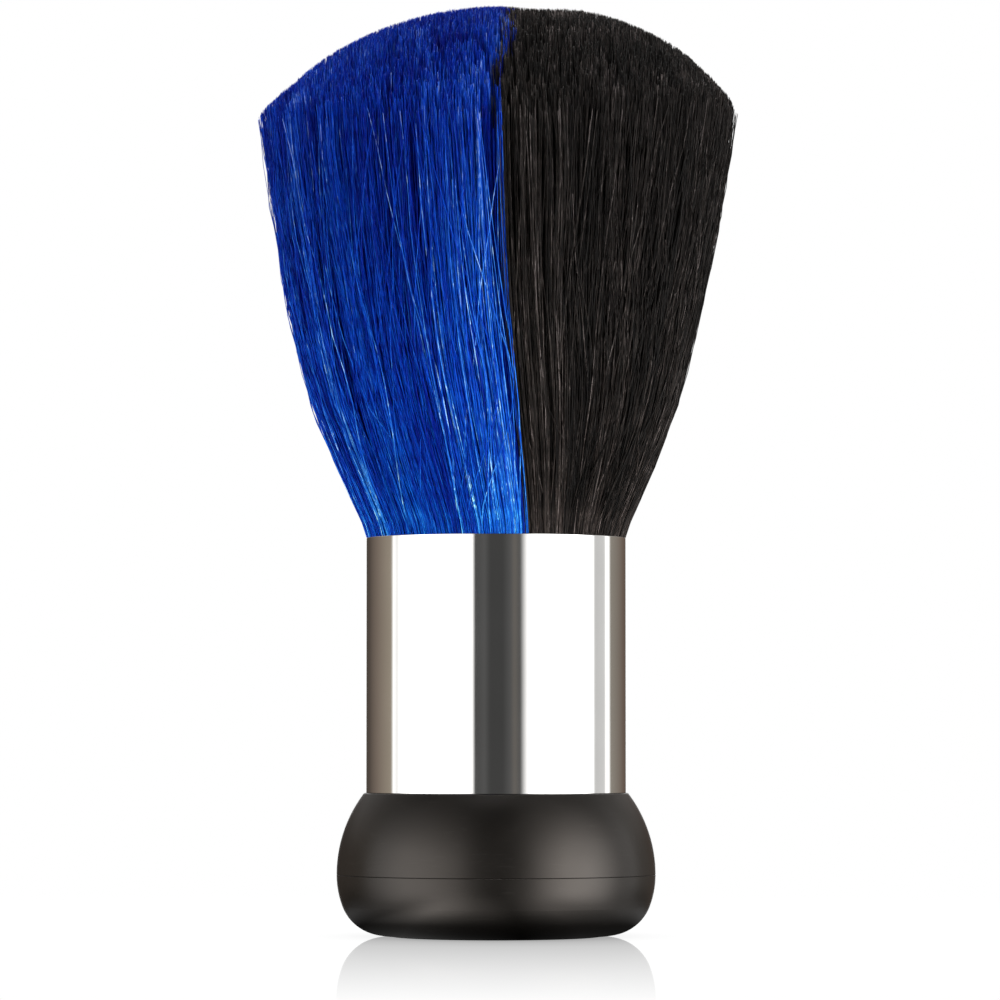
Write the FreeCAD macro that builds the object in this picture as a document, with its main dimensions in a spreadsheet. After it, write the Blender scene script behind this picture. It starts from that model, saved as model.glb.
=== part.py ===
"""Standing neck duster brush: a two-colour hair tuft in a bright metal ferrule on a moulded base.

The row frame is +Z up along the axis of the brush, with the origin where that axis meets the
surface that the brush stands on. The front is -Y, and the blue hair is on the -X side.
All sizes are in millimetres and all turns in degrees.
"""

import FreeCAD
import Part

import math
import os

import Sketcher

# Driving dimensions: alias, value, what it is.
SIZES = [
    ("base_radius", 28.4, "widest radius of the base, at the joint of its two shells"),
    ("base_height", 25.5, "top of the shoulder that the ferrule stands on"),
    ("joint_height", 11.0, "level of the joint between the two shells"),
    ("crown_bend", 23.9, "radius of the base's outline above the joint"),
    ("belly_bend", 16.0, "radius of the base's outline below the joint"),
    ("heel_bend", 8.0, "radius where the outline turns under the base"),
    ("heel_height", 0.2, "clearance between the heel ring and the floor"),
    ("shoulder_edge", 0.5, "rounding of the shoulder's outer edge"),
    ("seam_edge", 0.08, "chamfer on each side of the joint line"),
    ("shell_wall", 2.2, "wall of the top shell"),
    ("liner_radius", 24.4, "inner wall of the bottom shell"),
    ("lip_gap", 0.3, "play between the bottom shell's lip and the top shell"),
    ("lip_top", 13.2, "top of the bottom shell's lip"),
    ("web_base", 14.0, "underside of the top shell's web"),
    ("web_top", 16.0, "top of the top shell's web"),
    ("floor_top", 3.5, "top of the bottom shell's floor"),
    ("screw_boss_radius", 7.0, "boss round the screw in the bottom shell"),
    ("screw_boss_top", 7.5, "top of that boss"),
    ("seat_height", 5.5, "seat of the screw's washer"),
    ("well_radius", 5.0, "well that the screw head sits in"),
    ("screw_hole", 2.2, "radius of the clearance holes for the screw"),
    ("pad_radius", 19.0, "foot pad"),
    ("pad_thickness", 1.5, "foot pad"),
    ("pad_gap", 0.2, "play round the foot pad"),
    ("pad_edge", 0.4, "rounding of the foot pad's lower edge"),
    ("weight_radius", 20.0, "outside of the weight ring"),
    ("weight_bore", 7.4, "bore of the weight ring"),
    ("weight_height", 5.0, "thickness of the weight ring"),
    ("weight_edge", 0.5, "chamfer of the weight ring"),
    ("clamp_radius", 12.0, "inside of the ring that holds the weight down"),
    ("clamp_wall", 2.0, "wall of that ring"),
    ("spigot_radius", 22.7, "spigot that the ferrule slides over"),
    ("spigot_wall", 2.0, "wall of the spigot"),
    ("spigot_top", 33.0, "top of the spigot"),
    ("ferrule_radius", 23.2, "outside of the ferrule"),
    ("ferrule_wall", 0.4, "sheet thickness of the ferrule"),
    ("ferrule_length", 45.4, "length of the ferrule"),
    ("ferrule_edge", 0.12, "rounding of the ferrule's edges"),
    ("core_base", 33.1, "lower edge of the core's skirt"),
    ("core_top", 44.0, "top of the core, floor of the hair socket"),
    ("core_deck", 3.0, "thickness of the core's top"),
    ("core_boss_radius", 5.5, "the core's screw boss"),
    ("pilot_radius", 1.65, "hole that the screw cuts its thread in"),
    ("pilot_top", 31.0, "blind end of that hole"),
    ("rib_thickness", 1.6, "ribs between the boss and the skirt"),
    ("rib_base", 36.0, "lower edge of the ribs"),
    ("rib_bite", 1.0, "how far a rib runs into what it joins"),
    ("rib_count", 4, "ribs round the boss"),
    ("screw_length", 25.0, "screw, under the head"),
    ("screw_root", 1.5, "radius of the screw's shank"),
    ("screw_crest", 1.95, "radius over the thread"),
    ("screw_plain", 8.5, "plain shank under the head"),
    ("screw_pitch", 1.4, "pitch of the thread"),
    ("thread_half", 0.31, "half the width of the thread's ridge at its foot"),
    ("thread_crest", 0.07, "half the width of the ridge at its crest"),
    ("thread_sink", 0.1, "how far the ridge is sunk into the shank"),
    ("thread_end", 0.5, "plain shank between the thread and the point"),
    ("screw_point", 2.5, "length of the screw's point"),
    ("head_radius", 4.0, "pan head"),
    ("head_height", 2.9, "pan head"),
    ("head_edge", 1.4, "rounding of the pan head"),
    ("drive_length", 4.2, "cross recess, end to end"),
    ("drive_width", 0.9, "cross recess, width of one slot"),
    ("drive_depth", 1.7, "cross recess"),
    ("washer_radius", 4.6, "washer"),
    ("washer_thickness", 0.8, "washer"),
    ("plug_radius", 22.75, "set resin, up to the ferrule's wall"),
    ("plug_top", 52.0, "how far the resin has climbed round the hair"),
    ("hair_root", 47.0, "butt ends of the hair"),
    ("root_radius", 21.7, "hair bundle inside the resin"),
    ("waist_radius", 20.9, "hair bundle where the cord binds it"),
    ("waist_base", 53.6, "lower end of the bound waist"),
    ("waist_top", 57.0, "upper end of the bound waist"),
    ("throat_base", 61.0, "where the hair fills the ferrule again"),
    ("throat_radius", 22.65, "hair bundle in the ferrule's mouth"),
    ("flare_bend", 225.0, "radius of the tuft's side"),
    ("flare_radius", 42.8, "widest radius of the tuft"),
    ("flare_height", 146.0, "level of the tuft's widest place"),
    ("dome_bend", 62.0, "radius of the tuft's domed top"),
    ("brow_height", 3.5, "height of the rounding between the side and the dome"),
    ("brow_bend", 4.6, "radius of that rounding"),
    ("brush_height", 165.1, "top of the dome"),
    ("hair_parting", 0.2, "gap between the two colours of hair"),
    ("root_turn", 16.6, "turn of the division between the colours inside the ferrule"),
    ("turn_height", 68.0, "level, just inside the ferrule's mouth, where the division starts to turn"),
    ("middle_height", 100.0, "level of the division's middle section"),
    ("middle_turn", 7.0, "turn of the division there"),
    ("tip_turn", 0.5, "turn of the division at the dome"),
    ("division_reach", 56.0, "how far the division's sections reach, past the widest hair"),
    ("cord_radius", 0.4, "binding cord"),
    ("cord_play", 0.02, "gap between the cord and the waist"),
    ("cord_pitch", 0.84, "binding cord, turn to turn"),
    ("cord_turns", 3, "turns of the binding cord"),
]

FRONT_PLANE = "XZ_Plane"
FLAT_PLANE = "XY_Plane"
LEFT_OF_TRAVEL = 1
RIGHT_OF_TRAVEL = -1
ROUNDING_ERROR = 1e-6
SAME_PLACE = 1e-3
HALF_TOLERANCE = 0.01

# How a sketch counts its own origin, its axes, and the ends and centre of an edge.
ORIGIN, START, END, CENTRE = -1, 1, 2, 3
H_AXIS, V_AXIS = -1, -2

# Levels and radii that follow from the driving ones.
FERRULE_TOP = "Size.base_height + Size.ferrule_length"
CORD_RISE = "Size.cord_pitch * Size.cord_turns"
DOME_SHOULDER = (
    "sqrt(Size.dome_bend^2 - (Size.dome_bend - Size.brush_height"
    " + Size.flare_height + Size.brow_height)^2)"
)

doc = FreeCAD.newDocument("NeckDusterBrush")


# The sheet and what reads it.


def make_sheet():
    """Fills the sheet with one row for each driving dimension."""
    sheet = doc.addObject("Spreadsheet::Sheet", "Size")
    for row, (alias, value, note) in enumerate(SIZES, start=1):
        sheet.set(f"A{row}", alias)
        sheet.set(f"B{row}", str(value))
        sheet.set(f"C{row}", note)
        sheet.setAlias(f"B{row}", alias)
    doc.recompute()
    return sheet


def size(words):
    """The number that an expression on the sheet stands for."""
    return float(doc.Size.evalExpression(words))


def bind(thing, target, words):
    """Ties a property of thing to the sheet."""
    thing.setExpression(target, words)


# Sketches.


def new_body(name, height=None):
    """A sub-part, drawn from its own origin and raised to its height in the brush."""
    body = doc.addObject("PartDesign::Body", name)
    body.Label = name
    body.Placement = FreeCAD.Placement()
    if height:
        bind(body, "Placement.Base.z", height)
    return body


def datum(body, role):
    """One of the body's own planes or axes."""
    return [f for f in body.Origin.OriginFeatures if f.Role == role][0]


def new_sketch(body, name, plane, height=None, turn=None):
    """A sketch on one of the body's own planes, raised and turned by what the sheet says."""
    sketch = body.newObject("Sketcher::SketchObject", name)
    sketch.AttachmentSupport = (datum(body, plane), [""])
    sketch.MapMode = "FlatFace"
    up = FreeCAD.Vector(0, 0, 1)
    rise = size(height) if height else 0.0
    angle = size(turn) if turn else 0.0
    sketch.AttachmentOffset = FreeCAD.Placement(up * rise, FreeCAD.Rotation(up, angle))
    if height:
        bind(sketch, "AttachmentOffset.Base.z", height)
    if turn:
        bind(sketch, "AttachmentOffset.Rotation.Angle", f"{turn} * 1 deg")
    return sketch


def bend(radius, side):
    """Makes the edge that follows a corner an arc, with its centre on that side of the travel."""
    return ("bend", radius, side)


def edges_of(outline):
    """Pairs each corner of an outline with the bend of the edge that leaves it, or None."""
    edges = []
    for step in outline:
        if step[0] == "bend":
            edges[-1][1] = step
        else:
            edges.append([step, None])
    return edges


def arc_between(start, end, radius, side):
    """The shorter arc from start to end. Sketches hold arcs anticlockwise."""
    chord = end - start
    across = FreeCAD.Vector(-chord.y, chord.x, 0).normalize() * side
    rise = math.sqrt(radius**2 - (chord.Length / 2) ** 2)
    centre = start + chord * 0.5 + across * rise
    first, last = (start, end) if side == LEFT_OF_TRAVEL else (end, start)
    angles = [math.atan2(p.y - centre.y, p.x - centre.x) for p in (first, last)]
    if angles[1] < angles[0]:
        angles[1] += 2 * math.pi
    circle = Part.Circle(centre, FreeCAD.Vector(0, 0, 1), radius)
    return Part.ArcOfCircle(circle, *angles)


def add_size(sketch, name, words, kind, *where):
    """Adds a named dimension that follows the sheet."""
    index = sketch.addConstraint(Sketcher.Constraint(kind, *where, size(words)))
    sketch.renameConstraint(index, name)
    bind(sketch, f"Constraints.{name}", words)


def hold(sketch, edge, end, across, up, name):
    """Fixes an edge's end: on an axis where its coordinate is 0, or at a distance from it."""
    for kind, axis, words in (("DistanceX", V_AXIS, across), ("DistanceY", H_AXIS, up)):
        if abs(size(words)) < ROUNDING_ERROR:
            sketch.addConstraint(Sketcher.Constraint("PointOnObject", edge, end, axis))
        else:
            add_size(sketch, f"{kind}_{name}", words, kind, ORIGIN, START, edge, end)


def draw(sketch, outline):
    """Draws a closed outline: corners as (across, up), with a bend wherever an edge is an arc."""
    steps = edges_of(outline)
    places = [FreeCAD.Vector(size(x), size(y), 0) for (x, y), _ in steps]
    edges = []
    for i, (_, arc) in enumerate(steps):
        start, end = places[i], places[(i + 1) % len(places)]
        if arc:
            _, radius, side = arc
            edge = sketch.addGeometry(arc_between(start, end, size(radius), side))
            add_size(sketch, f"bend_{i}", radius, "Radius", edge)
            ends = (START, END) if side == LEFT_OF_TRAVEL else (END, START)
        else:
            edge = sketch.addGeometry(Part.LineSegment(start, end))
            ends = (START, END)
        edges.append((edge, *ends))
    for i, (edge, start, _) in enumerate(edges):
        before, _, finish = edges[i - 1]
        sketch.addConstraint(Sketcher.Constraint("Coincident", before, finish, edge, start))
        hold(sketch, edge, start, *steps[i][0], str(i))


def box_outline(left, right, low, high):
    """The four corners of an upright rectangle."""
    return [(left, low), (right, low), (right, high), (left, high)]


def draw_circle(sketch, name, radius, across="0", up="0"):
    """Adds a circle to a sketch."""
    centre = FreeCAD.Vector(size(across), size(up), 0)
    circle = Part.Circle(centre, FreeCAD.Vector(0, 0, 1), size(radius))
    edge = sketch.addGeometry(circle)
    add_size(sketch, name, radius, "Radius", edge)
    hold(sketch, edge, CENTRE, across, up, name)


# Features.


def revolve(body, name, outline):
    """Turns an outline of (radius, height) round the body's own Z axis."""
    sketch = new_sketch(body, f"{name}_outline", FRONT_PLANE)
    draw(sketch, outline)
    turned = body.newObject("PartDesign::Revolution", name)
    turned.Profile = sketch
    turned.ReferenceAxis = (sketch, ["V_Axis"])
    turned.Angle = 360.0
    doc.recompute()
    return turned


def pad_rings(body, name, radii, length):
    """A disc, or a ring where there are two radii, standing on the body's base plane."""
    sketch = new_sketch(body, f"{name}_outline", FLAT_PLANE)
    for i, radius in enumerate(radii):
        draw_circle(sketch, f"circle_{i}", radius)
    pad = body.newObject("PartDesign::Pad", name)
    pad.Profile = sketch
    bind(pad, "Length", length)
    doc.recompute()
    return pad


def rims(feature, radius, height):
    """Names of the round edges of that radius at that height in the body's own frame."""
    names = []
    for i, edge in enumerate(feature.Shape.Edges, start=1):
        curve = edge.Curve
        if not isinstance(curve, Part.Circle):
            continue
        if abs(curve.Radius - radius) < SAME_PLACE and abs(curve.Center.z - height) < SAME_PLACE:
            names.append(f"Edge{i}")
    return names


def dress(body, kind, name, base, places, words):
    """A fillet or chamfer on the round edges at the (radius, height) places."""
    edges = []
    for radius, height in places:
        found = rims(base, size(radius), size(height))
        if not found:
            raise RuntimeError(f"{body.Label} has no edge at radius {radius}, height {height}")
        edges += found
    feature = body.newObject(f"PartDesign::{kind}", name)
    feature.Base = (base, edges)
    bind(feature, {"Fillet": "Radius", "Chamfer": "Size"}[kind], words)
    doc.recompute()
    return feature


# The metal ferrule.


def make_ferrule():
    """A drawn tube that stands on the base's shoulder."""
    body = new_body("ferrule", "Size.base_height")
    inner = "Size.ferrule_radius - Size.ferrule_wall"
    tube = pad_rings(body, "tube", ["Size.ferrule_radius", inner], "Size.ferrule_length")
    ends = [("Size.ferrule_radius", "0"), ("Size.ferrule_radius", "Size.ferrule_length")]
    ends.append((inner, "Size.ferrule_length"))
    dress(body, "Fillet", "eased_ends", tube, ends, "Size.ferrule_edge")
    return body


# The base.


def crown(height, inset="0"):
    """Radius at a height of the outline above the joint, or of a line that far inside it."""
    centre = "(Size.base_radius - Size.crown_bend)"
    rise = f"({height} - Size.joint_height)"
    return f"{centre} + sqrt((Size.crown_bend - {inset})^2 - {rise}^2)"


def belly(height):
    """Radius at a height of the outline below the joint."""
    centre = "(Size.base_radius - Size.belly_bend)"
    return f"{centre} + sqrt(Size.belly_bend^2 - (Size.joint_height - {height})^2)"


def make_base_top_shell():
    """The rounded upper half of the base, with a web for the screw and a spigot for the ferrule."""
    body = new_body("base_top_shell")
    wall = "Size.shell_wall"
    bore = "Size.spigot_radius - Size.spigot_wall"
    inner_bend = "Size.crown_bend - Size.shell_wall"
    bore_foot = (
        "Size.joint_height + sqrt((Size.crown_bend - Size.shell_wall)^2"
        f" - ({bore} - Size.base_radius + Size.crown_bend)^2)"
    )
    clamp_outer = "Size.clamp_radius + Size.clamp_wall"
    clamp_foot = "Size.floor_top + Size.weight_height"
    outline = [
        ("Size.base_radius", "Size.joint_height"),
        bend("Size.crown_bend", LEFT_OF_TRAVEL),
        (crown("Size.base_height"), "Size.base_height"),
        ("Size.spigot_radius", "Size.base_height"),
        ("Size.spigot_radius", "Size.spigot_top"),
        (bore, "Size.spigot_top"),
        (bore, bore_foot),
        bend(inner_bend, RIGHT_OF_TRAVEL),
        (crown("Size.web_top", wall), "Size.web_top"),
        ("Size.screw_hole", "Size.web_top"),
        ("Size.screw_hole", "Size.web_base"),
        ("Size.clamp_radius", "Size.web_base"),
        ("Size.clamp_radius", clamp_foot),
        (clamp_outer, clamp_foot),
        (clamp_outer, "Size.web_base"),
        (crown("Size.web_base", wall), "Size.web_base"),
        bend(inner_bend, RIGHT_OF_TRAVEL),
        ("Size.base_radius - Size.shell_wall", "Size.joint_height"),
    ]
    shell = revolve(body, "shell", outline)
    shoulder = [(crown("Size.base_height"), "Size.base_height")]
    eased = dress(body, "Fillet", "shoulder", shell, shoulder, "Size.shoulder_edge")
    seam = [("Size.base_radius", "Size.joint_height")]
    dress(body, "Chamfer", "seam", eased, seam, "Size.seam_edge")
    return body


def make_base_bottom_shell():
    """The lower half of the base: a bowl with a lip, a screw well and a recess for the foot pad."""
    body = new_body("base_bottom_shell")
    lip = "Size.base_radius - Size.shell_wall - Size.lip_gap"
    recess = "Size.pad_radius + Size.pad_gap"
    outline = [
        ("Size.screw_hole", "Size.seat_height"),
        ("Size.well_radius", "Size.seat_height"),
        ("Size.well_radius", "Size.pad_thickness"),
        (recess, "Size.pad_thickness"),
        (recess, "Size.heel_height"),
        (belly("Size.heel_height"), "Size.heel_height"),
        bend("Size.belly_bend", LEFT_OF_TRAVEL),
        ("Size.base_radius", "Size.joint_height"),
        (lip, "Size.joint_height"),
        (lip, "Size.lip_top"),
        ("Size.liner_radius", "Size.lip_top"),
        ("Size.liner_radius", "Size.floor_top"),
        ("Size.screw_boss_radius", "Size.floor_top"),
        ("Size.screw_boss_radius", "Size.screw_boss_top"),
        ("Size.screw_hole", "Size.screw_boss_top"),
    ]
    bowl = revolve(body, "bowl", outline)
    heel = [(belly("Size.heel_height"), "Size.heel_height")]
    rounded = dress(body, "Fillet", "heel", bowl, heel, "Size.heel_bend")
    seam = [("Size.base_radius", "Size.joint_height")]
    dress(body, "Chamfer", "seam", rounded, seam, "Size.seam_edge")
    return body


def make_base_weight():
    """A steel ring on the base's floor, round the screw boss."""
    body = new_body("base_weight", "Size.floor_top")
    ring = pad_rings(body, "ring", ["Size.weight_radius", "Size.weight_bore"], "Size.weight_height")
    corners = [("Size.weight_radius", "0"), ("Size.weight_radius", "Size.weight_height")]
    dress(body, "Chamfer", "broken_edges", ring, corners, "Size.weight_edge")
    return body


def make_foot_pad():
    """The soft disc in the base's recess. Its lower face is what stands on the floor."""
    body = new_body("foot_pad")
    disc = pad_rings(body, "disc", ["Size.pad_radius"], "Size.pad_thickness")
    dress(body, "Fillet", "soft_edge", disc, [("Size.pad_radius", "0")], "Size.pad_edge")
    return body


# The core and its screw.


def make_handle_core():
    """An inverted cup inside the ferrule, with a ribbed boss that reaches down to the web."""
    body = new_body("handle_core")
    skirt = "Size.spigot_radius - Size.spigot_wall"
    deck = "Size.core_top - Size.core_deck"
    outline = [
        ("0", "Size.pilot_top"),
        ("Size.pilot_radius", "Size.pilot_top"),
        ("Size.pilot_radius", "Size.web_top"),
        ("Size.core_boss_radius", "Size.web_top"),
        ("Size.core_boss_radius", deck),
        (skirt, deck),
        (skirt, "Size.core_base"),
        ("Size.spigot_radius", "Size.core_base"),
        ("Size.spigot_radius", "Size.core_top"),
        ("0", "Size.core_top"),
    ]
    revolve(body, "cup", outline)
    sketch = new_sketch(body, "rib_outline", FRONT_PLANE)
    in_boss = "Size.core_boss_radius - Size.rib_bite"
    in_skirt = f"{skirt} + Size.rib_bite"
    in_deck = f"{deck} + Size.rib_bite"
    draw(sketch, box_outline(in_boss, in_skirt, "Size.rib_base", in_deck))
    rib = body.newObject("PartDesign::Pad", "rib")
    rib.Profile = sketch
    rib.SideType = "Symmetric"
    bind(rib, "Length", "Size.rib_thickness")
    doc.recompute()
    ribs = body.newObject("PartDesign::PolarPattern", "ribs")
    ribs.Originals = [rib]
    ribs.Axis = (datum(body, "Z_Axis"), [""])
    ribs.Angle = 360.0
    bind(ribs, "Occurrences", "Size.rib_count")
    body.Tip = ribs
    doc.recompute()
    return body


def make_base_screw():
    """A self-tapping pan-head screw, drawn head down with its seat at the body's own origin."""
    body = new_body("base_screw", "Size.seat_height - Size.washer_thickness")
    shank_end = "Size.screw_length - Size.screw_point"
    outline = [
        ("0", "-Size.head_height"),
        ("Size.head_radius", "-Size.head_height"),
        ("Size.head_radius", "0"),
        ("Size.screw_crest", "0"),
        ("Size.screw_crest", "Size.screw_plain"),
        ("Size.screw_root", "Size.screw_plain"),
        ("Size.screw_root", shank_end),
        ("0", "Size.screw_length"),
    ]
    blank = revolve(body, "blank", outline)
    head = [("Size.head_radius", "-Size.head_height")]
    dress(body, "Fillet", "pan", blank, head, "Size.head_edge")
    cut_drive(body)
    add_thread(body, shank_end)
    return body


def cut_drive(body):
    """The cross recess in the head, as two crossed slots."""
    slots = [("drive_length", "drive_width"), ("drive_width", "drive_length")]
    for i, (wide, deep) in enumerate(slots):
        sketch = new_sketch(body, f"slot_{i}_outline", FLAT_PLANE, "-Size.head_height")
        half_wide, half_deep = f"Size.{wide} / 2", f"Size.{deep} / 2"
        draw(sketch, box_outline(f"-{half_wide}", half_wide, f"-{half_deep}", half_deep))
        volume = body.Shape.Volume
        slot = body.newObject("PartDesign::Pocket", f"slot_{i}")
        slot.Profile = sketch
        slot.Reversed = True
        bind(slot, "Length", "Size.drive_depth")
        doc.recompute()
        if body.Shape.Volume > volume - ROUNDING_ERROR:
            raise RuntimeError("the drive slot cut nothing")


def add_thread(body, shank_end):
    """A ridge wound round the shank, sunk a little into it."""
    sketch = new_sketch(body, "thread_outline", FRONT_PLANE)
    sunk = "Size.screw_root - Size.thread_sink"
    ridge = [
        (sunk, "Size.screw_plain - Size.thread_half"),
        ("Size.screw_crest", "Size.screw_plain - Size.thread_crest"),
        ("Size.screw_crest", "Size.screw_plain + Size.thread_crest"),
        (sunk, "Size.screw_plain + Size.thread_half"),
    ]
    draw(sketch, ridge)
    thread = body.newObject("PartDesign::AdditiveHelix", "thread")
    thread.Profile = sketch
    thread.ReferenceAxis = (sketch, ["V_Axis"])
    thread.Mode = "pitch-height-angle"
    bind(thread, "Pitch", "Size.screw_pitch")
    bind(thread, "Height", f"{shank_end} - Size.screw_plain - Size.thread_end")
    doc.recompute()


def make_screw_washer():
    """The plain washer between the screw's head and its seat."""
    body = new_body("screw_washer", "Size.seat_height - Size.washer_thickness")
    rings = ["Size.washer_radius", "Size.screw_hole"]
    pad_rings(body, "ring", rings, "Size.washer_thickness")
    return body


# The hair and what holds it.


def make_resin_plug():
    """The set resin: a floor under the butt ends and a collar that has climbed round them."""
    body = new_body("resin_plug")
    outline = [
        ("0", "Size.core_top"),
        ("Size.plug_radius", "Size.core_top"),
        ("Size.plug_radius", "Size.plug_top"),
        ("Size.root_radius", "Size.plug_top"),
        ("Size.root_radius", "Size.hair_root"),
        ("0", "Size.hair_root"),
    ]
    revolve(body, "plug", outline)
    return body


def make_binding_cord():
    """A few close turns of cord round the waist of the bundle."""
    body = new_body("binding_cord")
    sketch = new_sketch(body, "cord_section", FRONT_PLANE)
    slack = f"(Size.waist_top - Size.waist_base - {CORD_RISE}) / 2"
    draw_circle(
        sketch,
        "section",
        "Size.cord_radius",
        "Size.waist_radius + Size.cord_radius + Size.cord_play",
        f"Size.waist_base + {slack}",
    )
    turns = body.newObject("PartDesign::AdditiveHelix", "turns")
    turns.Profile = sketch
    turns.ReferenceAxis = (sketch, ["V_Axis"])
    turns.Mode = "pitch-height-angle"
    bind(turns, "Pitch", "Size.cord_pitch")
    bind(turns, "Height", CORD_RISE)
    doc.recompute()
    return body


def make_bristles(name, turn):
    """Half of the tuft, drawn as the half on -X and then turned to its own side of the brush."""
    body = new_body(name)
    body.Placement.Rotation = FreeCAD.Rotation(FreeCAD.Vector(0, 0, 1), turn)
    outline = [
        ("0", "Size.hair_root"),
        ("Size.root_radius", "Size.hair_root"),
        ("Size.root_radius", "Size.waist_base"),
        ("Size.waist_radius", "Size.waist_base"),
        ("Size.waist_radius", "Size.waist_top"),
        ("Size.throat_radius", "Size.throat_base"),
        ("Size.throat_radius", FERRULE_TOP),
        bend("Size.flare_bend", LEFT_OF_TRAVEL),
        ("Size.flare_radius", "Size.flare_height"),
        bend("Size.brow_bend", LEFT_OF_TRAVEL),
        (DOME_SHOULDER, "Size.flare_height + Size.brow_height"),
        bend("Size.dome_bend", LEFT_OF_TRAVEL),
        ("0", "Size.brush_height"),
    ]
    whole = revolve(body, "tuft", outline).Shape.Volume
    cut_away_half(body)
    share = body.Shape.Volume / whole
    if abs(share - 0.5) > HALF_TOLERANCE:
        raise RuntimeError(f"{name} holds {share:.3f} of the tuft, not half of it")
    return body


def cut_away_half(body):
    """Removes the half on +X. The division turns about the axis as it rises."""
    levels = [
        ("Size.hair_root - 1", "Size.root_turn"),
        ("Size.turn_height", "Size.root_turn"),
        ("Size.middle_height", "Size.middle_turn"),
        ("Size.brush_height + 1", "Size.tip_turn"),
    ]
    near, far = "-Size.hair_parting / 2", "Size.division_reach"
    sections = []
    for i, (level, turn) in enumerate(levels):
        sketch = new_sketch(body, f"division_{i}", FLAT_PLANE, level, turn)
        draw(sketch, box_outline(near, far, f"-{far}", far))
        sections.append(sketch)
    cut = body.newObject("PartDesign::SubtractiveLoft", "division")
    cut.Profile = sections[0]
    cut.Sections = sections[1:]
    doc.recompute()


# Everything together.


def check(body):
    """Stops the build when a sub-part is not one sound solid or more."""
    shape = body.Shape
    if shape.isNull() or not shape.isValid() or not shape.Solids:
        raise RuntimeError(f"{body.Label} has no sound shape")


def main():
    """Makes the sheet and every sub-part, checks them and writes one STEP file each."""
    make_sheet()
    parts = [
        make_foot_pad(),
        make_base_bottom_shell(),
        make_base_weight(),
        make_screw_washer(),
        make_base_screw(),
        make_base_top_shell(),
        make_handle_core(),
        make_ferrule(),
        make_resin_plug(),
        make_binding_cord(),
        make_bristles("blue_bristles", turn=0),
        make_bristles("black_bristles", turn=180),
    ]
    doc.recompute()
    failed = [o.Label for o in doc.Objects if {"Invalid", "Error"} & set(o.State)]
    if failed:
        raise RuntimeError(f"these objects failed: {failed}")
    os.makedirs("parts", exist_ok=True)
    for body in parts:
        check(body)
        body.Shape.exportStep(os.path.join("parts", f"{body.Label}.step"))
        box = body.Shape.BoundBox
        print(f"{body.Label}: {len(body.Shape.Solids)} solid, {body.Shape.Volume:.0f} mm3,"
              f" z {box.ZMin:.2f} to {box.ZMax:.2f}, radius {box.XMax:.2f}")


main()
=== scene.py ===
import math

import bpy
import numpy as np
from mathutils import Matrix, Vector, kdtree
from mathutils.bvhtree import BVHTree


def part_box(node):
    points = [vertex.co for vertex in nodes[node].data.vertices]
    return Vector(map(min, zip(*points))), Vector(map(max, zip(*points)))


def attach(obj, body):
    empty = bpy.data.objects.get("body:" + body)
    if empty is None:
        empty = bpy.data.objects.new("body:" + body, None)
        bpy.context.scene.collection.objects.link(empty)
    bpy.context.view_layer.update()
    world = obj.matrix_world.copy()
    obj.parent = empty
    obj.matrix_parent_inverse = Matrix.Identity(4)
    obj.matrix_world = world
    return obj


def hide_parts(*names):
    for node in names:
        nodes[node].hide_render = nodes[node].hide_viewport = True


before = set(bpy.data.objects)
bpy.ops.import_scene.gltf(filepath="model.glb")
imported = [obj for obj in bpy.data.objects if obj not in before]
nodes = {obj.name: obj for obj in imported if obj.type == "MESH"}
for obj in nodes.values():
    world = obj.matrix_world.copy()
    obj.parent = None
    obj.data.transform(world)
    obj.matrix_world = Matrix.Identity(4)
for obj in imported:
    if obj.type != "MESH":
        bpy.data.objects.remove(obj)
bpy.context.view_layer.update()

# Lengths are in metres. The brush stands on the floor at the origin, its front is -Y and the
# blue hair is on the -X side. An azimuth runs round the brush from its front towards +X.

MM = 0.001
TURN = 2 * math.pi
TINY = 1e-9
WHITE = (1, 1, 1, 1)
BLACK = (0, 0, 0, 1)

# Camera.
CAMERA_PLACE = (0.0007, -0.911, 0.0365)
CAMERA_TILT = math.radians(92.592)
CAMERA_LENS = 183.7
CAMERA_NEAR = 0.05

# Outline of the tuft, read from the CAD hair. The dome leans, and its tips are cut back at the rim.
TUFT = "blue_bristles"
OUTLINE_STEPS = 240
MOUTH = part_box("ferrule")[1].z
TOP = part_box(TUFT)[1].z
WIDEST = -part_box(TUFT)[0].x
DOME_LEAN = 0.056
LEAN_REACH = 46 * MM
LEAN_END = 34 * MM
LEAN_FADE = 0.35
LEAN_BEND = 1.2
DIP_PLACE = 7 * MM
DIP_REACH = 6 * MM
DIP_DEPTH = 0.7 * MM
DOME_RISE = 0.8 * MM
SHOULDER_RISE = 0.5 * MM
RIM_DROP = 1.2 * MM
RIM_START = 0.7
FRONT_DROP = 5.5 * MM
FRONT_START = 0.7
TUFT_BOW = -0.5 * MM
BOW_REACH = 0.75
TIP_SHIFT = 0.4 * MM
TIP_SHIFT_START = 0.6
# Swells and hollows of the side: how far up the tuft, how long and how deep.
SWELLS = ((0.25, 0.15, 0.7 * MM), (0.64, 0.15, -0.2 * MM), (0.95, 0.2, 0.3 * MM))

# The division between the colours turns inside the ferrule and straightens towards the dome. On top
# of the dome the blue reaches a little further over, and the colours mix.
ROOT_TURN = math.radians(16.5)
TURN_FADE = 35 * MM
DIVISION_SHIFT = -1.3 * MM
APEX_SHIFT = 2.5 * MM
APEX_REACH = 37 * MM
APEX_FADE = 8 * MM
DIVISION_SCATTER = 0.15 * MM
CROWN_MIXING = 1.1 * MM
CROSSING = 0.5 * MM
CROWN_CROSSING = 1.1 * MM
CROWN_START = 0.8

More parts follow.
